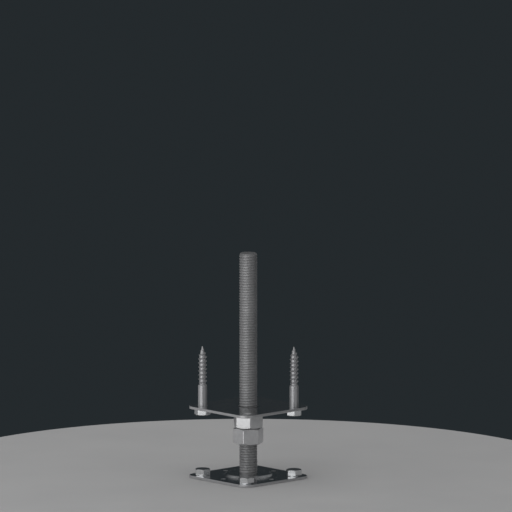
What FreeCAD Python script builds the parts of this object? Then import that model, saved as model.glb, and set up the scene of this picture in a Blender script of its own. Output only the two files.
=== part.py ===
# Adjustable post base: pressed foot plate, upright threaded rod, two nuts, washer and top plate.
# Units are millimetres and degrees. The origin is at the middle of the foot plate's underside, +Z is up.

import FreeCAD, Part
import os
import Sketcher

doc = FreeCAD.newDocument("adjustable_post_base")

# Driving sizes

SIZES = [
    # plates
    ("base_side", 100, "foot plate, side of the square"),
    ("base_thickness", 3, "foot plate, sheet thickness"),
    ("base_corner", 12, "foot plate, corner radius"),
    ("top_side", 100, "top plate, side of the square"),
    ("top_thickness", 3, "top plate, sheet thickness"),
    ("top_corner", 12, "top plate, corner radius"),
    ("edge_break", 0.5, "small round along the plates' rims"),
    # boss pressed up in the middle of the foot plate
    ("boss_radius", 27.5, "boss, radius at its foot"),
    ("boss_rise", 2.5, "boss, height above the plate"),
    ("boss_slope", 45, "boss, angle of its shoulder from level"),
    ("boss_round", 1.5, "boss, rounding of its shoulder"),
    # screw pattern and small holes
    ("screw_pitch", 72, "distance between neighbouring corner screws"),
    ("anchor_gap", 0.75, "radial gap round an anchor screw in the foot plate"),
    ("lag_gap", 0.5, "radial gap round a lag screw in the top plate"),
    ("side_hole_reach", 38, "small holes, distance from the rod's axis"),
    ("side_hole_size", 5, "small holes, diameter"),
    # threaded rod and its weld
    ("rod_size", 20, "rod, thread diameter"),
    ("rod_length", 253, "rod, overall length"),
    ("rod_stub", 2, "rod, length that stands out below the roof of the boss"),
    ("rod_chamfer", 1.5, "rod, chamfer at the free end"),
    ("rod_weld_gap", 0.1, "radial gap round the rod in the foot plate"),
    ("rod_pass_gap", 1, "radial gap round the rod in the top plate"),
    ("weld_leg", 2, "weld, leg of the fillet"),
    ("weld_bulge", 0.6, "weld, place of its bulging face as a share of the leg"),
    # nuts
    ("nut_flats", 30, "nuts, width across flats"),
    ("nut_height", 18, "nuts, height"),
    ("nut_face_share", 0.95, "nuts, diameter of the bearing face as a share of the flats"),
    ("nut_thread_gap", 0.05, "nuts, running gap on the rod"),
    ("nut_mouth", 0.8, "nuts, countersink at both ends of the bore"),
    ("chamfer_angle", 30, "nuts and heads, slope of the corner chamfers"),
    ("support_nut_turn", 25.4, "support nut, turn about the rod"),
    ("lock_nut_turn", -0.6, "lock nut, turn about the rod"),
    ("seat_height", 78, "height of the top plate's underside above the ground"),
    # washer between the support nut and the top plate
    ("washer_size", 37, "washer, outside diameter"),
    ("washer_thickness", 3, "washer, thickness"),
    ("washer_gap", 0.5, "radial gap round the rod in the washer"),
    ("washer_chamfer", 0.7, "washer, chamfer round its lower edge"),
    # screws
    ("head_flats", 16, "screw heads, width across flats"),
    ("head_height", 7, "screw heads, height"),
    ("head_face_share", 0.95, "screw heads, diameter of the top face as a share of the flats"),
    ("anchor_size", 10.5, "anchor screws, thread diameter"),
    ("anchor_neck", 8, "anchor screws, plain neck diameter in the plate"),
    ("anchor_depth", 61, "anchor screws, depth below the foot plate"),
    ("anchor_tip", 1.5, "anchor screws, chamfer at the tip"),
    ("lag_size", 10, "lag screws, thread diameter"),
    ("lag_reach", 70, "lag screws, length above the head"),
    ("lag_point", 11, "lag screws, length of the point"),
    ("lag_nose", 1, "lag screws, diameter at the very tip"),
]

sizes = doc.addObject("Spreadsheet::Sheet", "Sizes")
for row, (alias, value, note) in enumerate(SIZES, start=1):
    sizes.set(f"A{row}", note)
    sizes.set(f"B{row}", str(value))
    sizes.setAlias(f"B{row}", alias)
doc.recompute()

# Places worked out from the driving sizes

BASE_TOP = "Sizes.base_thickness"
BOSS_TOP = "(Sizes.base_thickness + Sizes.boss_rise)"
BOSS_RUN = "Sizes.boss_rise / tan(Sizes.boss_slope)"
HOLLOW_RADIUS = "(Sizes.boss_radius - Sizes.base_thickness * tan(Sizes.boss_slope / 2))"
ROD_RADIUS = "Sizes.rod_size / 2"
ROD_FOOT = "(Sizes.boss_rise - Sizes.rod_stub)"
ROD_TOP = "(Sizes.boss_rise - Sizes.rod_stub + Sizes.rod_length)"
NUT_BORE = "(Sizes.rod_size / 2 + Sizes.nut_thread_gap)"
WASHER_FOOT = "(Sizes.seat_height - Sizes.washer_thickness)"
SUPPORT_NUT_FOOT = "(Sizes.seat_height - Sizes.washer_thickness - Sizes.nut_height)"
LOCK_NUT_FOOT = "(Sizes.seat_height - Sizes.washer_thickness - 2 * Sizes.nut_height)"
SCREW_OFFSET = "Sizes.screw_pitch / 2"

# Corner screws: side of X, side of Y, and the turn of the head about its own axis
ANCHORS = [(1, 1, 29.4), (-1, -1, 24.4), (1, -1, 26.4), (-1, 1, 13.0)]
LAGS = [(1, 1, 21.4), (-1, -1, 43.4), (-1, 1, 5.0)]
CORNERS = [(1, 1), (-1, -1), (1, -1), (-1, 1)]
SIDES = [(1, 0), (-1, 0), (0, 1), (0, -1)]
SAME = 1e-6


def add(kind, name, **formulas):
    """A document object whose named properties follow the given formulas."""
    item = doc.addObject(kind, name)
    for prop, formula in formulas.items():
        item.setExpression(prop, formula)
    return item


def place(item, x="0", y="0", z="0", turn="0"):
    """Put an object at a point and turn it about the vertical."""
    item.Placement = FreeCAD.Placement(FreeCAD.Vector(), FreeCAD.Rotation(FreeCAD.Vector(0, 0, 1), 0))
    item.setExpression("Placement.Base.x", x)
    item.setExpression("Placement.Base.y", y)
    item.setExpression("Placement.Base.z", z)
    item.setExpression("Placement.Rotation.Angle", turn)
    return item


def side(sign, reach):
    """The formula for a coordinate that lies on one side of the axis, or on it."""
    return f"{sign} * {reach}" if sign else "0"


# Sketches

def sketch_on(body, role, name):
    """An empty sketch on one of the body's own origin planes."""
    plane = next(f for f in body.Origin.OriginFeatures if f.Role == role)
    sketch = body.newObject("Sketcher::SketchObject", name)
    sketch.AttachmentSupport = [(plane, "")]
    sketch.MapMode = "FlatFace"
    return sketch


def pin(sketch, geometry, point, x, y):
    """Tie a sketch point to the sketch's origin by two formulas."""
    for kind, axis, formula in (("DistanceX", -2, x), ("DistanceY", -1, y)):
        if formula == "0":
            sketch.addConstraint(Sketcher.Constraint("PointOnObject", geometry, point, axis))
            continue
        start = getattr(sketch.getPoint(geometry, point), kind[-1].lower())
        index = sketch.addConstraint(Sketcher.Constraint(kind, -1, 1, geometry, point, start))
        sketch.setExpression(f"Constraints[{index}]", formula)


def number(formula):
    """The present value of a formula in the sheet's sizes."""
    value = sizes.evalExpression(formula)
    return float(getattr(value, "Value", value))


def polygon(sketch, corners):
    """A closed outline whose corners are pairs of formulas."""
    points = [FreeCAD.Vector(number(x), number(y), 0) for x, y in corners]
    first = sketch.GeometryCount
    count = len(points)
    for i in range(count):
        sketch.addGeometry(Part.LineSegment(points[i], points[(i + 1) % count]))
    for i in range(count):
        sketch.addConstraint(Sketcher.Constraint("Coincident", first + i, 2, first + (i + 1) % count, 1))
    for i, (x, y) in enumerate(corners):
        pin(sketch, first + i, 1, x, y)


def circle(sketch, x, y, radius):
    """A circle whose centre and radius are formulas."""
    centre = FreeCAD.Vector(number(x), number(y), 0)
    index = sketch.addGeometry(Part.Circle(centre, FreeCAD.Vector(0, 0, 1), number(radius)))
    pin(sketch, index, 3, x, y)
    size = sketch.addConstraint(Sketcher.Constraint("Radius", index, number(radius)))
    sketch.setExpression(f"Constraints[{size}]", radius)


# Features of a body

def pad(body, sketch, length):
    feature = body.newObject("PartDesign::Pad", f"{body.Name}_pad")
    feature.Profile = sketch
    feature.setExpression("Length", length)
    doc.recompute()
    return feature


def turned(body, kind, sketch):
    """A full turn of the sketch about the vertical, added or cut away."""
    feature = body.newObject(f"PartDesign::{kind}", f"{sketch.Name}_turned")
    feature.Profile = sketch
    feature.ReferenceAxis = (sketch, ["V_Axis"])
    feature.Angle = 360
    doc.recompute()
    return feature


def drill(body, sketch):
    """Cut the sketch's circles through the whole body, both ways."""
    before = body.Shape.Volume
    feature = body.newObject("PartDesign::Pocket", f"{sketch.Name}_cut")
    feature.Profile = sketch
    feature.Type = "ThroughAll"
    feature.Midplane = True
    doc.recompute()
    if body.Shape.Volume >= before:
        raise RuntimeError(f"{sketch.Name} cuts nothing")
    return feature


def soften(body, base, wanted, radius, name):
    """Round the edges of a feature that pass the test."""
    edges = [f"Edge{i}" for i, edge in enumerate(base.Shape.Edges, start=1) if wanted(edge)]
    if not edges:
        raise RuntimeError(f"{name} finds no edge to round")
    feature = body.newObject("PartDesign::Fillet", name)
    feature.Base = (base, edges)
    feature.setExpression("Radius", radius)
    doc.recompute()
    return feature


def near(value, formula):
    return abs(value - number(formula)) < SAME


def is_upright(edge):
    box = edge.BoundBox
    return box.XLength < SAME and box.YLength < SAME


def is_level_at(edge, height):
    box = edge.BoundBox
    return near(box.ZMin, height) and near(box.ZMax, height)


def is_ring(edge, radius, height):
    """Is this edge a circle about the vertical axis, of this radius and height?"""
    curve = edge.Curve
    return (
        isinstance(curve, Part.Circle)
        and near(curve.Center.x, "0")
        and near(curve.Center.y, "0")
        and near(curve.Radius, radius)
        and near(curve.Center.z, height)
    )


def rounded_plate(body, plate_side, thickness, corner):
    """A square plate on the body's XY plane, with rounded corners and softened rims."""
    outline = sketch_on(body, "XY_Plane", f"{body.Name}_outline")
    half = f"{plate_side} / 2"
    polygon(outline, [(side(i, half), side(j, half)) for i, j in ((-1, -1), (1, -1), (1, 1), (-1, 1))])
    plate = pad(body, outline, thickness)
    plate = soften(body, plate, is_upright, corner, f"{body.Name}_corners")
    return soften(
        body,
        plate,
        lambda edge: is_level_at(edge, "0") or is_level_at(edge, thickness),
        "Sizes.edge_break",
        f"{body.Name}_rims",
    )


def turned_body(name, corners):
    """A body made by one full turn of an outline of radius and height formulas."""
    body = doc.addObject("PartDesign::Body", name)
    outline = sketch_on(body, "XZ_Plane", f"{name}_outline")
    polygon(outline, corners)
    turned(body, "Revolution", outline)
    return body


# Foot plate

def make_base_plate():
    body = doc.addObject("PartDesign::Body", "base_plate")
    rounded_plate(body, "Sizes.base_side", "Sizes.base_thickness", "Sizes.base_corner")

    boss = sketch_on(body, "XZ_Plane", "boss")
    polygon(boss, [
        ("0", BASE_TOP),
        ("Sizes.boss_radius", BASE_TOP),
        (f"Sizes.boss_radius - {BOSS_RUN}", BOSS_TOP),
        ("0", BOSS_TOP),
    ])
    turned(body, "Revolution", boss)

    hollow = sketch_on(body, "XZ_Plane", "hollow")
    polygon(hollow, [
        ("0", "0"),
        (HOLLOW_RADIUS, "0"),
        (f"{HOLLOW_RADIUS} - {BOSS_RUN}", "Sizes.boss_rise"),
        ("0", "Sizes.boss_rise"),
    ])
    pressed = turned(body, "Groove", hollow)

    soften(
        body,
        pressed,
        lambda edge: is_ring(edge, "Sizes.boss_radius", BASE_TOP)
        or is_ring(edge, f"Sizes.boss_radius - {BOSS_RUN}", BOSS_TOP),
        "Sizes.boss_round",
        "boss_shoulder",
    )

    holes = sketch_on(body, "XY_Plane", "base_holes")
    circle(holes, "0", "0", f"{ROD_RADIUS} + Sizes.rod_weld_gap")
    anchor_hole = "Sizes.anchor_size / 2 + Sizes.anchor_gap"
    for i, j in CORNERS:
        circle(holes, side(i, SCREW_OFFSET), side(j, SCREW_OFFSET), anchor_hole)
    reach = "Sizes.side_hole_reach"
    for i, j in SIDES:
        circle(holes, side(i, reach), side(j, reach), "Sizes.side_hole_size / 2")
    drill(body, holes)
    return body


# Threaded rod and its weld

def make_threaded_rod():
    return turned_body("threaded_rod", [
        ("0", ROD_FOOT),
        (ROD_RADIUS, ROD_FOOT),
        (ROD_RADIUS, f"{ROD_TOP} - Sizes.rod_chamfer"),
        (f"{ROD_RADIUS} - Sizes.rod_chamfer", ROD_TOP),
        ("0", ROD_TOP),
    ])


def make_rod_weld():
    """A slightly bulging fillet between the rod and the roof of the hollow."""
    bulge = "Sizes.weld_bulge * Sizes.weld_leg"
    return turned_body("rod_weld", [
        (ROD_RADIUS, "Sizes.boss_rise - Sizes.weld_leg"),
        (f"{ROD_RADIUS} + {bulge}", f"Sizes.boss_rise - {bulge}"),
        (f"{ROD_RADIUS} + Sizes.weld_leg", "Sizes.boss_rise"),
        (ROD_RADIUS, "Sizes.boss_rise"),
    ])


# Hexagons

def hexagon(name, flats, height, face_share, both_ends):
    """A hexagonal prism on Z = 0 with its corners chamfered at the top, or at both ends."""
    face = f"{face_share} * {flats} / 2"
    flare = f"{face} + {height} / tan(Sizes.chamfer_angle)"
    prism = add("Part::Prism", f"{name}_prism", Circumradius=f"{flats} / sqrt(3)", Height=height)
    prism.Polygon = 6
    cone = add("Part::Cone", f"{name}_top_cone", Radius1=flare, Radius2=face, Height=height)
    shape = doc.addObject("Part::Common", f"{name}_top")
    shape.Base, shape.Tool = prism, cone
    if both_ends:
        cone = add("Part::Cone", f"{name}_foot_cone", Radius1=face, Radius2=flare, Height=height)
        trimmed = doc.addObject("Part::Common", f"{name}_foot")
        trimmed.Base, trimmed.Tool = shape, cone
        shape = trimmed
    return shape


# Nuts

def make_nut(name, foot, turn):
    blank = hexagon(name, "Sizes.nut_flats", "Sizes.nut_height", "Sizes.nut_face_share", True)
    mouth = f"{NUT_BORE} + Sizes.nut_mouth"
    bore = add("Part::Cylinder", f"{name}_bore", Radius=NUT_BORE, Height="Sizes.nut_height")
    depth = "Sizes.nut_mouth"
    lower = add("Part::Cone", f"{name}_lower_mouth", Radius1=mouth, Radius2=NUT_BORE, Height=depth)
    upper = add("Part::Cone", f"{name}_upper_mouth", Radius1=NUT_BORE, Radius2=mouth, Height=depth)
    place(upper, z="Sizes.nut_height - Sizes.nut_mouth")
    space = doc.addObject("Part::MultiFuse", f"{name}_space")
    space.Shapes = [bore, lower, upper]
    nut = doc.addObject("Part::Cut", name)
    nut.Base, nut.Tool = blank, space
    return place(nut, z=foot, turn=turn)


# Washer and top plate

def make_washer():
    bore = f"{ROD_RADIUS} + Sizes.washer_gap"
    rim = "Sizes.washer_size / 2"
    return turned_body("washer", [
        (bore, WASHER_FOOT),
        (f"{rim} - Sizes.washer_chamfer", WASHER_FOOT),
        (rim, f"{WASHER_FOOT} + Sizes.washer_chamfer"),
        (rim, "Sizes.seat_height"),
        (bore, "Sizes.seat_height"),
    ])


def make_top_plate():
    body = doc.addObject("PartDesign::Body", "top_plate")
    rounded_plate(body, "Sizes.top_side", "Sizes.top_thickness", "Sizes.top_corner")
    holes = sketch_on(body, "XY_Plane", "top_holes")
    circle(holes, "0", "0", f"{ROD_RADIUS} + Sizes.rod_pass_gap")
    for i, j in CORNERS:
        circle(holes, side(i, SCREW_OFFSET), side(j, SCREW_OFFSET), "Sizes.lag_size / 2 + Sizes.lag_gap")
    drill(body, holes)
    return place(body, z="Sizes.seat_height")


# Screws

def head(name):
    return hexagon(name, "Sizes.head_flats", "Sizes.head_height", "Sizes.head_face_share", False)


def make_anchor_screw(name):
    """Head upwards on Z = 0, plain neck as long as the plate is thick, then the thread's outside."""
    radius = "Sizes.anchor_size / 2"
    thread = "Sizes.anchor_depth - Sizes.anchor_tip"
    neck = add("Part::Cylinder", f"{name}_neck", Radius="Sizes.anchor_neck / 2",
               Height="Sizes.base_thickness")
    place(neck, z="-Sizes.base_thickness")
    shank = add("Part::Cylinder", f"{name}_shank", Radius=radius, Height=thread)
    place(shank, z=f"-Sizes.base_thickness - ({thread})")
    tip = add("Part::Cone", f"{name}_tip", Radius1=f"{radius} - Sizes.anchor_tip", Radius2=radius,
              Height="Sizes.anchor_tip")
    place(tip, z="-Sizes.base_thickness - Sizes.anchor_depth")
    screw = doc.addObject("Part::MultiFuse", name)
    screw.Shapes = [head(name), neck, shank, tip]
    return screw


def make_lag_screw(name):
    """Head downwards under Z = 0, shank upwards to a point."""
    radius = "Sizes.lag_size / 2"
    straight = "Sizes.lag_reach - Sizes.lag_point"
    cap = head(name)
    cap.Placement = FreeCAD.Placement(FreeCAD.Vector(), FreeCAD.Rotation(FreeCAD.Vector(1, 0, 0), 180))
    shank = add("Part::Cylinder", f"{name}_shank", Radius=radius, Height=straight)
    point = add("Part::Cone", f"{name}_point", Radius1=radius, Radius2="Sizes.lag_nose / 2",
                Height="Sizes.lag_point")
    place(point, z=straight)
    screw = doc.addObject("Part::MultiFuse", name)
    screw.Shapes = [cap, shank, point]
    return screw


def make_screws(name, maker, seats, height):
    """One screw at each seat, kept together as one group of separate solids."""
    group = doc.addObject("Part::Compound", name)
    screws = []
    for index, (i, j, turn) in enumerate(seats, start=1):
        screw = maker(f"{name}_{index}")
        place(screw, side(i, SCREW_OFFSET), side(j, SCREW_OFFSET), height, str(turn))
        screws.append(screw)
    group.Links = screws
    return group


pieces = [
    make_base_plate(),
    make_threaded_rod(),
    make_rod_weld(),
    make_nut("lock_nut", LOCK_NUT_FOOT, "Sizes.lock_nut_turn"),
    make_nut("support_nut", SUPPORT_NUT_FOOT, "Sizes.support_nut_turn"),
    make_washer(),
    make_top_plate(),
    make_screws("anchor_screws", make_anchor_screw, ANCHORS, BASE_TOP),
    make_screws("lag_screws", make_lag_screw, LAGS, "Sizes.seat_height"),
]
for piece in pieces:
    piece.Label = piece.Name
doc.recompute()

# Nothing is written unless every object is sound

for item in doc.Objects:
    if "Invalid" in item.State or "Error" in item.State:
        raise RuntimeError(f"{item.Name} failed: {item.State}")
for piece in pieces:
    if piece.Shape.isNull() or not piece.Shape.isValid():
        raise RuntimeError(f"{piece.Label} has no sound shape")

os.makedirs("parts", exist_ok=True)
for piece in pieces:
    piece.Shape.exportStep(f"parts/{piece.Label}.step")
    box = piece.Shape.BoundBox
    print(f"{piece.Label}: {len(piece.Shape.Solids)} solids, {piece.Shape.Volume:.1f} mm3,"
          f" z {box.ZMin:.2f} to {box.ZMax:.2f}")
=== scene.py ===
import math

import bmesh
import bpy
from mathutils import Matrix, Vector


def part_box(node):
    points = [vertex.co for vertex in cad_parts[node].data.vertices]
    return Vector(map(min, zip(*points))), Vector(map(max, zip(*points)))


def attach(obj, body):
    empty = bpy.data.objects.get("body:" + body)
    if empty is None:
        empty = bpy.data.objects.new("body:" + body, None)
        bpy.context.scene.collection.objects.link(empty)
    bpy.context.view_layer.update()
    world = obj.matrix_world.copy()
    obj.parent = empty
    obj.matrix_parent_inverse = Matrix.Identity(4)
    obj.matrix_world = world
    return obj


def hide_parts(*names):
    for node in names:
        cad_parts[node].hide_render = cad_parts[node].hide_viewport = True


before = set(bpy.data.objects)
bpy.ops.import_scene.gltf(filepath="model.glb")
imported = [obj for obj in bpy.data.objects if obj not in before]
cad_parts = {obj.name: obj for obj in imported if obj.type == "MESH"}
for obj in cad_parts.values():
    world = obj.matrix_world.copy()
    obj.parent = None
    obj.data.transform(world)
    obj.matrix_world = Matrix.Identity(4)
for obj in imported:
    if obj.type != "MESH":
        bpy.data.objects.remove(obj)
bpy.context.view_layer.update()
scene = bpy.context.scene
mm = 0.001  # pieces are drawn in millimetres and scaled to metres when they are done
print("frame loaded:", ", ".join(sorted(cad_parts)))


def levels(node):  # lowest and highest level of a CAD node, in millimetres
    low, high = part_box(node)
    return low[2] / mm, high[2] / mm


# finishes

skin = {  # what all the zinc finishes share
    "noiseRoughness": 0.6, "blotchDetail": 5, "grainDetail": 6, "pittingDetail": 3,
    "blotchBand": (0.36, 0.66),  # noise within this band fades from dull to bright
    "grainBand": (0.3, 0.7),  # noise within this band spans the range of roughness
    "pitDepth": 0.05 * mm,
}


def zincFinish(name, look):
    material = bpy.data.materials.new(name)
    material.use_nodes = True
    nodes, links = material.node_tree.nodes, material.node_tree.links
    shader = nodes["Principled BSDF"]
    shader.inputs["Metallic"].default_value = 1.0
    coords = nodes.new("ShaderNodeTexCoord")

    def noise(scale, detail, stretch=(1, 1, 1)):
        mapping = nodes.new("ShaderNodeMapping")
        mapping.inputs["Scale"].default_value = stretch
        links.new(coords.outputs["Object"], mapping.inputs["Vector"])
        texture = nodes.new("ShaderNodeTexNoise")
        texture.inputs["Scale"].default_value = scale
        texture.inputs["Detail"].default_value = detail
        texture.inputs["Roughness"].default_value = skin["noiseRoughness"]
        links.new(mapping.outputs["Vector"], texture.inputs["Vector"])
        return texture.outputs["Fac"]

    def fade(source, band, start, end):  # noise to colour
        ramp = nodes.new("ShaderNodeValToRGB")
        first, last = ramp.color_ramp.elements
        first.position, last.position = band
        first.color = (*start, 1)
        last.color = (*end, 1)
        links.new(source, ramp.inputs["Fac"])
        return ramp.outputs["Color"]

    def spread(source, band, reach):  # noise to a range of numbers
        scaled = nodes.new("ShaderNodeMapRange")
        scaled.inputs["From Min"].default_value, scaled.inputs["From Max"].default_value = band
        scaled.inputs["To Min"].default_value, scaled.inputs["To Max"].default_value = reach
        links.new(source, scaled.inputs["Value"])
        return scaled.outputs["Result"]

    worn = nodes.new("ShaderNodeAttribute")  # 1 on cut, rolled and rounded faces, 0 elsewhere
    worn.attribute_name = "edgeWear"

    blotches = noise(look["blotch"], skin["blotchDetail"])  # passivated patches
    tint = nodes.new("ShaderNodeMix")
    tint.data_type = "RGBA"
    links.new(worn.outputs["Fac"], tint.inputs["Factor"])
    links.new(fade(blotches, skin["blotchBand"], look["dull"], look["bright"]), tint.inputs["A"])
    tint.inputs["B"].default_value = (*look["edge"], 1)
    links.new(tint.outputs["Result"], shader.inputs["Base Color"])

    grain = noise(look["grain"], skin["grainDetail"], look["stretch"])  # rolling and drawing marks
    sheen = nodes.new("ShaderNodeMix")
    links.new(worn.outputs["Fac"], sheen.inputs["Factor"])
    links.new(spread(grain, skin["grainBand"], look["roughness"]), sheen.inputs["A"])
    links.new(spread(grain, skin["grainBand"], look["edgeRoughness"]), sheen.inputs["B"])
    links.new(sheen.outputs["Result"], shader.inputs["Roughness"])

    bump = nodes.new("ShaderNodeBump")
    bump.inputs["Strength"].default_value = look["bump"]
    bump.inputs["Distance"].default_value = skin["pitDepth"]
    links.new(noise(look["pitting"], skin["pittingDetail"]), bump.inputs["Height"])
    links.new(bump.outputs["Normal"], shader.inputs["Normal"])
    return material


plateZinc = zincFinish("plateZinc", {
    "bright": (0.70, 0.71, 0.72), "dull": (0.60, 0.61, 0.62), "edge": (0.54, 0.54, 0.55),
    "blotch": 70, "grain": 60, "stretch": (1, 14, 14), "pitting": 1800,
    "roughness": (0.13, 0.22), "edgeRoughness": (0.42, 0.50), "bump": 0.10,
})
rodZinc = zincFinish("rodZinc", {
    "bright": (0.41, 0.41, 0.415), "dull": (0.35, 0.35, 0.355), "edge": (0.42, 0.42, 0.425),
    "blotch": 45, "grain": 160, "stretch": (1, 1, 0.4), "pitting": 1500,
    "roughness": (0.52, 0.62), "edgeRoughness": (0.52, 0.62), "bump": 0.12,
})
nutZinc = zincFinish("nutZinc", {
    "bright": (0.74, 0.74, 0.75), "dull": (0.64, 0.64, 0.65), "edge": (0.84, 0.84, 0.84),
    "blotch": 110, "grain": 90, "stretch": (1, 1, 6), "pitting": 1300,
    "roughness": (0.30, 0.38), "edgeRoughness": (0.26, 0.34), "bump": 0.14,
})
screwZinc = zincFinish("screwZinc", {
    "bright": (0.72, 0.73, 0.74), "dull": (0.62, 0.63, 0.64), "edge": (0.52, 0.52, 0.53),
    "blotch": 150, "grain": 120, "stretch": (1, 1, 5), "pitting": 1600,
    "roughness": (0.20, 0.26), "edgeRoughness": (0.42, 0.52), "bump": 0.12,
})
weldZinc = zincFinish("weldZinc", {
    "bright": (0.50, 0.50, 0.51), "dull": (0.34, 0.33, 0.33), "edge": (0.52, 0.52, 0.52),
    "blotch": 300, "grain": 400, "stretch": (1, 1, 1), "pitting": 2500,
    "roughness": (0.34, 0.52), "edgeRoughness": (0.34, 0.52), "bump": 0.30,
})
print("finishes made:", len(bpy.data.materials))


# helpers for the meshes

near = {  # how near counts as the same, in millimetres
    "point": 0.002, "coilPoint": 0.004,  # points that are merged, in a piece and between a thread's turns
    "cut": 0.0005, "level": 0.01,  # points on a cutting plane, and at a height or radius
}
sharpAngle = 1.0  # radians between the faces of an edge that gets rounded
softCrease = 32  # degrees between faces up to which their shading runs on


def allOf(bm):
    return bm.verts[:] + bm.edges[:] + bm.faces[:]


def vertsIn(geom):
    return [item for item in geom if isinstance(item, bmesh.types.BMVert)]


def edgesIn(geom):
    return [item for item in geom if isinstance(item, bmesh.types.BMEdge)]


def reachOf(vert):
    return math.hypot(vert.co.x, vert.co.y)


def setReach(vert, radius):
    scale = radius / reachOf(vert)
    vert.co.x *= scale
    vert.co.y *= scale


def chain(bm, points):  # an open outline of radius and height, upright on the axis
    verts = [bm.verts.new((radius, 0, height)) for radius, height in points]
    for pair in zip(verts, verts[1:]):
        bm.edges.new(pair)
    return verts


def roundOff(bm, verts, reach, segments):
    bmesh.ops.bevel(bm, geom=verts, offset=reach, affect="VERTICES", segments=segments,
                    profile=0.5, material=-1)


def fullTurn(bm, steps):
    bmesh.ops.spin(bm, geom=allOf(bm), cent=(0, 0, 0), axis=(0, 0, 1),
                   angle=2 * math.pi, steps=steps, use_merge=True)


def turnBy(bm, degrees, axis="Z"):
    turn = Matrix.Rotation(math.radians(degrees), 3, axis)
    bmesh.ops.rotate(bm, verts=bm.verts, cent=(0, 0, 0), matrix=turn)


def joinTo(bm, part):  # moves the part's mesh into bm
    carrier = bpy.data.meshes.new("carrier")
    part.to_mesh(carrier)
    part.free()
    bm.from_mesh(carrier)
    bpy.data.meshes.remove(carrier)


def wearLayer(bm):
    return bm.faces.layers.float.get("edgeWear") or bm.faces.layers.float.new("edgeWear")


def markWorn(bm, faces):
    wear = wearLayer(bm)
    for face in faces:
        face[wear] = 1.0


def softEdges(bm, edges, width, segments):  # rounds edges and marks the new faces as worn
    wearLayer(bm)  # before the new faces are picked
    made = bmesh.ops.bevel(bm, geom=edges, offset=width, affect="EDGES", segments=segments,
                           profile=0.5, material=-1)
    markWorn(bm, made["faces"])


def addPiece(bm, name, body, material, crease=softCrease):
    bmesh.ops.remove_doubles(bm, verts=bm.verts, dist=near["point"])
    bmesh.ops.recalc_face_normals(bm, faces=bm.faces)
    bm.normal_update()
    for face in bm.faces:
        face.smooth = True
    for edge in bm.edges:
        if len(edge.link_faces) == 2:
            edge.smooth = edge.calc_face_angle() < math.radians(crease)
    bmesh.ops.scale(bm, vec=(mm, mm, mm), verts=bm.verts)
    mesh = bpy.data.meshes.new(name)
    bm.to_mesh(mesh)
    bm.free()
    mesh.materials.append(material)
    piece = bpy.data.objects.new(name, mesh)
    scene.collection.objects.link(piece)
    flats = piece.modifiers.new("flats", "WEIGHTED_NORMAL")  # keeps flats flat beside their round edges
    flats.mode = "FACE_AREA"
    flats.keep_sharp = True
    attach(piece, body)
    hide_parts(name)
    mesh.calc_loop_triangles()
    print(f"{name}: {len(mesh.loop_triangles)} triangles")


# plates

sheet = {  # what both plates share
    "side": 100, "thickness": 3, "corner": 12, "cornerSteps": 16,
    "rim": 0.5, "rimSteps": 3, "holeRim": 0.25, "holeRimSteps": 2,  # the outer rim is rounder than the holes'
    "pitch": 72, "screwHoleSteps": 48,
    "upright": 0.5,  # a face whose normal rises less than this was cut or punched
}


def plateSheet(bm, plate, holes):  # a square sheet with round corners and round holes
    made = bmesh.ops.create_grid(bm, x_segments=1, y_segments=1, size=plate["side"] / 2)
    roundOff(bm, made["verts"], plate["corner"], plate["cornerSteps"])
    bmesh.ops.delete(bm, geom=bm.faces[:], context="FACES_ONLY")
    for x, y, radius, steps in holes:
        bmesh.ops.create_circle(bm, segments=steps, radius=radius, matrix=Matrix.Translation((x, y, 0)))
    bmesh.ops.triangle_fill(bm, use_beauty=True, edges=bm.edges[:], normal=(0, 0, 1))
    raised = bmesh.ops.extrude_face_region(bm, geom=bm.faces[:], use_keep_orig=True)
    bmesh.ops.translate(bm, verts=vertsIn(raised["geom"]), vec=(0, 0, plate["thickness"]))
    bmesh.ops.recalc_face_normals(bm, faces=bm.faces)
    wearLayer(bm)  # a new layer drops every face that was picked before it
    markWorn(bm, [face for face in bm.faces if abs(face.normal.z) < plate["upright"]])


def sharpEdges(bm):
    return [edge for edge in bm.edges if edge.is_manifold and edge.calc_face_angle() > sharpAngle]


def softRims(bm, plate, holes):
    def onHole(edge):
        place = edge.verts[0].co.xy
        return any(abs(math.dist(place, (x, y)) - radius) < near["level"] for x, y, radius, _ in holes)

    softEdges(bm, [edge for edge in sharpEdges(bm) if onHole(edge)], plate["holeRim"], plate["holeRimSteps"])
    softEdges(bm, sharpEdges(bm), plate["rim"], plate["rimSteps"])


def screwHoles(plate):
    half = plate["pitch"] / 2
    corners = ((half, half), (-half, -half), (half, -half), (-half, half))
    return [(x, y, plate["screwHole"], plate["screwHoleSteps"]) for x, y in corners]


footPlate = {
    **sheet, "screwHole": 6.0, "sideReach": 38, "sideHole": 2.5, "sideHoleSteps": 32,
    "ring": 29.5,  # where the flat sheet meets the pressed middle
    "bossFoot": 27.5, "bossTop": 25.0, "bossRise": 2.5, "shoulderRound": 1.4, "shoulderSteps": 6,
    "rodHole": 10.1, "steps": 128,
}


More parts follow.
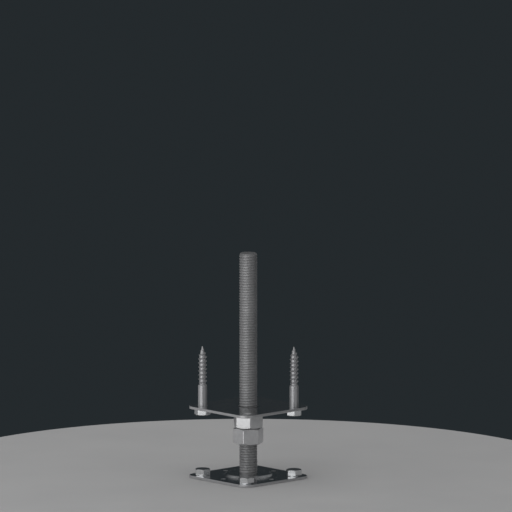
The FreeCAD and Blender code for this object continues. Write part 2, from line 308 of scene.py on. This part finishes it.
def makeFootPlate(size):
    thickness, rise, ring = size["thickness"], size["bossRise"], size["ring"]
    reach = size["sideReach"]
    sides = ((reach, 0), (-reach, 0), (0, reach), (0, -reach))
    holes = [(0, 0, ring, size["steps"]), *screwHoles(size)]
    holes += [(x, y, size["sideHole"], size["sideHoleSteps"]) for x, y in sides]
    bm = bmesh.new()
    plateSheet(bm, size, holes)
    collar = [face for face in bm.faces
              if all(abs(reachOf(vert) - ring) < near["level"] for vert in face.verts)]
    bmesh.ops.delete(bm, geom=collar, context="FACES_ONLY")
    softRims(bm, size, holes)

    foot, top, bore = size["bossFoot"], size["bossTop"], size["rodHole"]
    lean = math.atan2(rise, foot - top)
    inset = thickness * math.tan(lean / 2)  # the sheet keeps its thickness round the shoulder
    pressed = bmesh.new()  # shoulder, top, rod hole and the hollow underneath, in one outline
    points = chain(pressed, [
        (ring, thickness), (foot, thickness), (top, thickness + rise), (bore, thickness + rise),
        (bore, rise), (top - inset, rise), (foot - inset, 0), (ring, 0),
    ])
    bends = [points[1], points[2], points[5], points[6]]
    roundOff(pressed, bends, size["shoulderRound"], size["shoulderSteps"])
    fullTurn(pressed, size["steps"])
    wearLayer(pressed)  # none of it is worn
    joinTo(bm, pressed)
    addPiece(bm, "base_plate", "base", plateZinc)


seatPlate = {**sheet, "screwHole": 5.5, "rodHole": 11.0, "rodHoleSteps": 72}


def makeSeatPlate(size):
    holes = [(0, 0, size["rodHole"], size["rodHoleSteps"]), *screwHoles(size)]
    bm = bmesh.new()
    plateSheet(bm, size, holes)
    softRims(bm, size, holes)
    bmesh.ops.translate(bm, verts=bm.verts, vec=(0, 0, levels("top_plate")[0]))
    addPiece(bm, "top_plate", "head", plateZinc)


washer = {"bore": 10.5, "rim": 18.5, "chamfer": 0.7, "soft": 0.25, "softSteps": 3, "steps": 96}


def makeWasher(size):
    low, high = levels("washer")
    bm = bmesh.new()
    points = chain(bm, [
        (size["bore"], low), (size["rim"] - size["chamfer"], low), (size["rim"], low + size["chamfer"]),
        (size["rim"], high), (size["bore"], high),
    ])
    bm.edges.new((points[-1], points[0]))
    roundOff(bm, points, size["soft"], size["softSteps"])
    fullTurn(bm, size["steps"])
    addPiece(bm, "washer", "head", nutZinc)


makeFootPlate(footPlate)
makeSeatPlate(seatPlate)
makeWasher(washer)


# threads

def rimAt(bm, height):  # the open edges at a height
    level = {vert for vert in bm.verts if abs(vert.co.z - height) < near["level"]}
    return [edge for edge in bm.edges if edge.is_boundary and level.issuperset(edge.verts)]


def capAt(bm, height):
    bmesh.ops.contextual_create(bm, geom=rimAt(bm, height))


def cutAt(bm, height, side=1, clear=False):  # cuts across the axis, and can clear what lies on that side
    bmesh.ops.bisect_plane(bm, geom=allOf(bm), dist=near["cut"], plane_co=(0, 0, height),
                           plane_no=(0, 0, side), clear_outer=clear)


leadTurns = 2  # turns below the lower end of a thread that are cut off again
spareTurns = 3  # turns in all beyond a thread's length, so that both cuts go through whole turns


def threadCoil(thread, low, high):  # right-hand thread between two heights, with open ends
    pitch, steps = thread["pitch"], thread["steps"]
    bm = bmesh.new()
    chain(bm, [(radius, share * pitch) for radius, share in thread["profile"]])
    bmesh.ops.spin(bm, geom=allOf(bm), cent=(0, 0, 0), axis=(0, 0, 1),
                   dvec=(0, 0, pitch / steps), angle=2 * math.pi, steps=steps)
    length = pitch
    while length < high - low + spareTurns * pitch:  # each copy doubles the length
        copy = bmesh.ops.duplicate(bm, geom=allOf(bm))
        bmesh.ops.translate(bm, verts=vertsIn(copy["geom"]), vec=(0, 0, length))
        length *= 2
    bmesh.ops.translate(bm, verts=bm.verts, vec=(0, 0, low - leadTurns * pitch))
    bmesh.ops.remove_doubles(bm, verts=bm.verts, dist=near["coilPoint"])
    cutAt(bm, low, -1, clear=True)
    cutAt(bm, high, 1, clear=True)
    return bm


rod = {
    "pitch": 3.0, "steps": 40, "radius": 10.0, "chamfer": 1.5, "chamferRows": 4, "crease": 40,
    "profile": [  # radius, and height as a share of the pitch: a round root and a broad round crest
        (9.25, 0), (9.31, 0.07), (9.74, 0.21), (9.93, 0.29), (10.0, 0.39),
        (10.0, 0.61), (9.93, 0.71), (9.74, 0.79), (9.31, 0.93), (9.25, 1),
    ],
}


def makeRod(size):
    foot, top = levels("threaded_rod")
    bm = threadCoil(size, foot, top)
    capAt(bm, foot)
    capAt(bm, top)
    for row in range(1, size["chamferRows"] + 1):
        cutAt(bm, top - row / size["chamferRows"] * size["chamfer"])
    for vert in bm.verts:
        most = size["radius"] + min(0, top - size["chamfer"] - vert.co.z)
        if reachOf(vert) > most:
            setReach(vert, most)
    addPiece(bm, "threaded_rod", "base", rodZinc, size["crease"])


weld = {
    "inner": 10.0, "leg": 2.0, "bulge": 1.2, "crown": 0.7, "crownSteps": 4, "steps": 180, "crease": 50,
    "ripples": 30, "ripple": 0.16, "fall": 1.5,  # how many, how deep as a share of the bead, and how steep
    "held": 0.05,  # what is nearer than this to the rod or the roof has no ripples
}


def makeWeld(size):
    roof = levels("rod_weld")[1]
    inner, leg, bulge, held = size["inner"], size["leg"], size["bulge"], size["held"]
    bm = bmesh.new()
    points = chain(bm, [
        (inner, roof), (inner, roof - leg), (inner + bulge, roof - bulge), (inner + leg, roof),
    ])
    bm.edges.new((points[-1], points[0]))
    roundOff(bm, [points[2]], size["crown"], size["crownSteps"])
    fullTurn(bm, size["steps"])
    for vert in bm.verts:  # each ripple swells slowly and drops off sharply
        turn = math.atan2(vert.co.y, vert.co.x) / (2 * math.pi) * size["ripples"] % 1
        keep = 1 - size["ripple"] * (1 - turn) ** size["fall"]
        if vert.co.z < roof - held and reachOf(vert) > inner + held:
            setReach(vert, inner + (reachOf(vert) - inner) * keep)
            vert.co.z = roof - (roof - vert.co.z) * keep
    addPiece(bm, "rod_weld", "base", weldZinc, size["crease"])


makeRod(rod)
makeWeld(weld)


# hexagons

hexagon = {  # what nuts and screw heads share
    "cornerSteps": 3, "sideCuts": 11, "edgeSteps": 2,
    "cornerToSide": 30,  # degrees
    "chamferSlope": math.tan(math.radians(30)),
}


def hexRing(bm, size, turn=0):  # a hexagon with slightly round corners, as a loop of edges
    made = bmesh.ops.create_circle(bm, segments=6, radius=size["flats"] / math.sqrt(3))
    roundOff(bm, made["verts"], size["corner"], hexagon["cornerSteps"])
    sides = [edge for edge in bm.edges if edge.calc_length() > size["flats"] / 4]
    bmesh.ops.subdivide_edges(bm, edges=sides, cuts=hexagon["sideCuts"])
    turnBy(bm, turn + hexagon["cornerToSide"])
    return bm.edges[:]


def nextRing(bm, edges, height, radius=None):  # draws the loop on to a new height, and to a circle
    made = bmesh.ops.extrude_edge_only(bm, edges=edges)["geom"]
    for vert in vertsIn(made):
        vert.co.z = height
        if radius:
            setReach(vert, radius)
    return edgesIn(made)


def bendRing(edges, level, size, side):  # where a cone's chamfer meets the hexagon's sides, above or below
    for vert in {vert for edge in edges for vert in edge.verts}:
        vert.co.z = level - side * (reachOf(vert) - size["face"]) * hexagon["chamferSlope"]


nuts = {
    "flats": 30, "face": 14.25, "corner": 0.8, "bore": 10.05, "mouth": 0.8, "edge": 0.25,
    "turn": {"lock_nut": -0.6, "support_nut": 25.4},
}


def makeNut(name, size):
    foot, top = levels(name)
    bore, mouth, face = size["bore"], size["mouth"], size["face"]
    bm = bmesh.new()
    lowRing = hexRing(bm, size, size["turn"][name])
    bendRing(lowRing, foot, size, -1)
    highRing = nextRing(bm, lowRing, top)
    bendRing(highRing, top, size, 1)
    ring = highRing
    for radius, height in (
        (face, top), (bore + mouth, top), (bore, top - mouth),
        (bore, foot + mouth), (bore + mouth, foot), (face, foot),
    ):
        ring = nextRing(bm, ring, height, radius)
    bmesh.ops.bridge_loops(bm, edges=ring + lowRing)
    bmesh.ops.recalc_face_normals(bm, faces=bm.faces)
    softEdges(bm, lowRing + highRing, size["edge"], hexagon["edgeSteps"])
    addPiece(bm, name, name, nutZinc)


for nut in nuts["turn"]:
    makeNut(nut, nuts)


# screws

heads = {
    "flats": 16, "height": 7, "face": 7.6, "corner": 0.35, "edge": 0.15,
    "seat": 7.4, "seatHeight": 0.5,  # the round face under the hexagon
    "fillet": 0.4,  # between that face and the shank
}


def hexHead(size, shank):  # stands on height 0 with its chamfer upwards, open where the shank goes
    top, seatHeight = size["height"], size["seatHeight"]
    bm = bmesh.new()
    lowRing = hexRing(bm, size)
    bmesh.ops.translate(bm, verts=bm.verts, vec=(0, 0, seatHeight))
    highRing = nextRing(bm, lowRing, top)
    bendRing(highRing, top, size, 1)
    ring = nextRing(bm, highRing, top, size["face"])
    bmesh.ops.contextual_create(bm, geom=ring)
    ring = nextRing(bm, lowRing, seatHeight, size["seat"])
    ring = nextRing(bm, ring, 0)
    nextRing(bm, ring, 0, shank + size["fillet"])
    bmesh.ops.recalc_face_normals(bm, faces=bm.faces)
    softEdges(bm, highRing, size["edge"], hexagon["edgeSteps"])
    return bm


def addHead(screw, head, neck):  # joins the head's rim at height 0 to the shank's rim at the neck's height
    joinTo(screw, head)
    bmesh.ops.bridge_loops(screw, edges=rimAt(screw, 0) + rimAt(screw, neck))


def setScrews(screw, seats, height):  # copies one screw to each of its seats
    bm = bmesh.new()
    for x, y, turn in seats:
        copy = screw.copy()
        turnBy(copy, turn)
        bmesh.ops.translate(copy, verts=copy.verts, vec=(x, y, height))
        joinTo(bm, copy)
    screw.free()
    return bm


anchors = {
    "neck": 4.0, "neckLength": 3, "radius": 5.25, "tip": 1.5, "runOut": 5,
    "pitch": 6.0, "steps": 36, "crease": 40,
    "profile": [  # a thin sharp thread that stands far apart on its core
        (4.0, 0), (4.0, 0.62), (4.15, 0.68), (5.2, 0.79), (5.25, 0.81), (5.2, 0.83), (4.15, 0.94), (4.0, 1),
    ],
    "seats": [(36, 36, 29.4), (-36, -36, 24.4), (36, -36, 26.4), (-36, 36, 13.0)],  # x, y and turn
}


def makeAnchors(size):
    low, high = levels("anchor_screws")
    seat = high - heads["height"]
    start, end = -size["neckLength"], low - seat
    neck, radius = size["neck"], size["radius"]
    screw = threadCoil(size, end, start)
    capAt(screw, end)
    for vert in screw.verts:
        runOut = neck + (start - vert.co.z) / size["runOut"] * (radius - neck)
        tip = radius - size["tip"] + vert.co.z - end
        most = min(runOut, tip, radius)
        if reachOf(vert) > most:
            setReach(vert, most)
    nextRing(screw, rimAt(screw, start), -heads["fillet"], neck)
    markWorn(screw, screw.faces)  # the rolled thread is duller than the head
    addHead(screw, hexHead(heads, neck), -heads["fillet"])
    bm = setScrews(screw, size["seats"], seat)
    addPiece(bm, "anchor_screws", "base", screwZinc, size["crease"])


lags = {
    "shank": 5.0, "core": 3.6, "plain": 26, "stepRound": 0.5, "stepRoundSteps": 4,
    "point": 11, "nose": 0.5, "runOut": 4, "pitch": 4.5, "steps": 36, "crease": 40,
    "profile": [  # a steep thread on a thin core
        (3.6, 0), (3.6, 0.50), (3.75, 0.58), (4.92, 0.76), (5.0, 0.79), (4.92, 0.82), (3.75, 0.94), (3.6, 1),
    ],
    "seats": [(36, 36, 21.4), (-36, -36, 43.4), (-36, 36, 5.0)],  # x, y and turn
}


def makeLags(size):
    low, high = levels("lag_screws")
    seat = low + heads["height"]
    core, radius, nose = size["core"], size["shank"], size["nose"]
    start = size["plain"] + radius - core  # the thread starts where the shank has stepped down to it
    end = high - seat
    screw = threadCoil(size, start, end)
    capAt(screw, end)
    for vert in screw.verts:
        runOut = core + (vert.co.z - start) / size["runOut"] * (radius - core)
        pointed = min(1, (end - vert.co.z) / size["point"])
        setReach(vert, min(reachOf(vert), runOut) * (nose + (radius - nose) * pointed) / radius)
    step = nextRing(screw, rimAt(screw, start), size["plain"], radius)
    nextRing(screw, step, heads["fillet"])
    softEdges(screw, step, size["stepRound"], size["stepRoundSteps"])
    markWorn(screw, screw.faces)  # drawn and rolled steel, duller than the head
    head = hexHead(heads, radius)
    turnBy(head, 180, "X")
    addHead(screw, head, heads["fillet"])
    bm = setScrews(screw, size["seats"], seat)
    addPiece(bm, "lag_screws", "head", screwZinc, size["crease"])


makeAnchors(anchors)
makeLags(lags)


# floor, light and camera

floorLook = {
    "reach": 0.385, "steps": 128, "roughness": 0.85, "grain": 9,
    "pale": (0.40, 0.40, 0.40), "darker": (0.35, 0.35, 0.355),
}


def makeFloor(look):
    bm = bmesh.new()
    bmesh.ops.create_circle(bm, cap_ends=True, segments=look["steps"], radius=look["reach"])
    mesh = bpy.data.meshes.new("floor")
    bm.to_mesh(mesh)
    bm.free()
    material = bpy.data.materials.new("paleFloor")
    material.use_nodes = True
    nodes, links = material.node_tree.nodes, material.node_tree.links
    shader = nodes["Principled BSDF"]
    shader.inputs["Roughness"].default_value = look["roughness"]
    coords = nodes.new("ShaderNodeTexCoord")
    noise = nodes.new("ShaderNodeTexNoise")
    noise.inputs["Scale"].default_value = look["grain"]
    ramp = nodes.new("ShaderNodeValToRGB")
    first, last = ramp.color_ramp.elements
    first.color = (*look["darker"], 1)
    last.color = (*look["pale"], 1)
    links.new(coords.outputs["Object"], noise.inputs["Vector"])
    links.new(noise.outputs["Fac"], ramp.inputs["Fac"])
    links.new(ramp.outputs["Color"], shader.inputs["Base Color"])
    mesh.materials.append(material)
    floor = bpy.data.objects.new("floor", mesh)
    scene.collection.objects.link(floor)


lamps = {  # azimuth and elevation of each soft box, its distance, size and glow
    "frontBox": {"azimuth": 8, "elevation": 22, "distance": 1.5, "width": 1.5, "height": 1.3, "glow": 0.68},
    "frontCard": {"azimuth": 12, "elevation": -13, "distance": 1.5, "width": 1.7, "height": 0.8, "glow": 1.2},
    "leftBox": {"azimuth": -58, "elevation": 8, "distance": 1.6, "width": 1.3, "height": 1.4, "glow": 0.40},
    "rightBox": {"azimuth": 94, "elevation": 8, "distance": 1.6, "width": 1.55, "height": 1.4, "glow": 0.26},
    "backBox": {"azimuth": 192, "elevation": 8, "distance": 1.6, "width": 1.0, "height": 1.4, "glow": 0.10},
    "topBox": {"azimuth": 10, "elevation": 60, "distance": 1.6, "width": 3.0, "height": 1.6, "glow": 0.18},
}
lampAim = Vector((0, 0, 0.08))  # the soft boxes face the top plate's middle
wattsForGlow = 4  # power of a square metre of soft box that glows at 1


def awayTo(azimuth, elevation):
    across, up = math.radians(azimuth), math.radians(elevation)
    return Vector((math.sin(across) * math.cos(up), -math.cos(across) * math.cos(up), math.sin(up)))


def makeLamp(name, look):
    light = bpy.data.lights.new(name, "AREA")
    light.shape = "RECTANGLE"
    light.size, light.size_y = look["width"], look["height"]
    light.energy = wattsForGlow * look["glow"] * look["width"] * look["height"]
    lamp = bpy.data.objects.new(name, light)
    away = awayTo(look["azimuth"], look["elevation"])
    lamp.location = lampAim + away * look["distance"]
    lamp.rotation_euler = away.to_track_quat("Z", "Y").to_euler()
    lamp.visible_camera = False
    scene.collection.objects.link(lamp)


studio = {  # backdrop and ceiling are seen and mirrored, the air lights dull surfaces
    "backdrop": (0.018, 0.023, 0.026), "ceiling": (0.20, 0.204, 0.208), "air": (0.60, 0.60, 0.60),
    "backdropTop": 18, "ceilingEdge": 52,  # elevations between which the backdrop brightens into the ceiling
}


def makeWorld(look):
    world = bpy.data.worlds.new("studio")
    world.use_nodes = True
    nodes, links = world.node_tree.nodes, world.node_tree.links
    path = nodes.new("ShaderNodeLightPath")
    seen = path.outputs["Is Camera Ray"]
    for ray in ("Is Glossy Ray", "Is Transmission Ray"):
        either = nodes.new("ShaderNodeMath")
        either.operation = "MAXIMUM"
        links.new(seen, either.inputs[0])
        links.new(path.outputs[ray], either.inputs[1])
        seen = either.outputs["Value"]
    coords = nodes.new("ShaderNodeTexCoord")
    upward = nodes.new("ShaderNodeSeparateXYZ")
    links.new(coords.outputs["Generated"], upward.inputs["Vector"])
    height = nodes.new("ShaderNodeMapRange")
    height.interpolation_type = "SMOOTHSTEP"
    height.inputs["From Min"].default_value = math.sin(math.radians(look["backdropTop"]))
    height.inputs["From Max"].default_value = math.sin(math.radians(look["ceilingEdge"]))
    links.new(upward.outputs["Z"], height.inputs["Value"])

    def blendFrom(colour, share):
        mixed = nodes.new("ShaderNodeMix")
        mixed.data_type = "RGBA"
        links.new(share, mixed.inputs["Factor"])
        mixed.inputs["A"].default_value = (*colour, 1)
        return mixed

    room = blendFrom(look["backdrop"], height.outputs["Result"])
    room.inputs["B"].default_value = (*look["ceiling"], 1)
    sky = blendFrom(look["air"], seen)
    links.new(room.outputs["Result"], sky.inputs["B"])
    links.new(sky.outputs["Result"], nodes["Background"].inputs["Color"])
    scene.world = world


lens = {  # the long lens and the place that the middle of the picture looks at
    "focal": 984, "sensor": 36, "azimuth": 47.4, "elevation": 9.12, "distance": 15.549,
    "aimHeight": 0.2500, "aimRight": 0.0086, "near": 1.0, "far": 40.0,
}


def makeCamera(size):
    view = bpy.data.cameras.new("camera")
    view.lens, view.sensor_width = size["focal"], size["sensor"]
    view.clip_start, view.clip_end = size["near"], size["far"]
    camera = bpy.data.objects.new("camera", view)
    away = awayTo(size["azimuth"], size["elevation"])
    turn = math.radians(size["azimuth"])
    right = Vector((math.cos(turn), math.sin(turn), 0))
    aim = right * size["aimRight"] + Vector((0, 0, size["aimHeight"]))
    camera.location = aim + away * size["distance"]
    camera.rotation_euler = away.to_track_quat("Z", "Y").to_euler()
    scene.collection.objects.link(camera)
    scene.camera = camera


makeFloor(floorLook)
for name, look in lamps.items():
    makeLamp(name, look)
makeWorld(studio)
makeCamera(lens)
scene.view_settings.view_transform = "Standard"
print("studio set:", ", ".join(lamps))
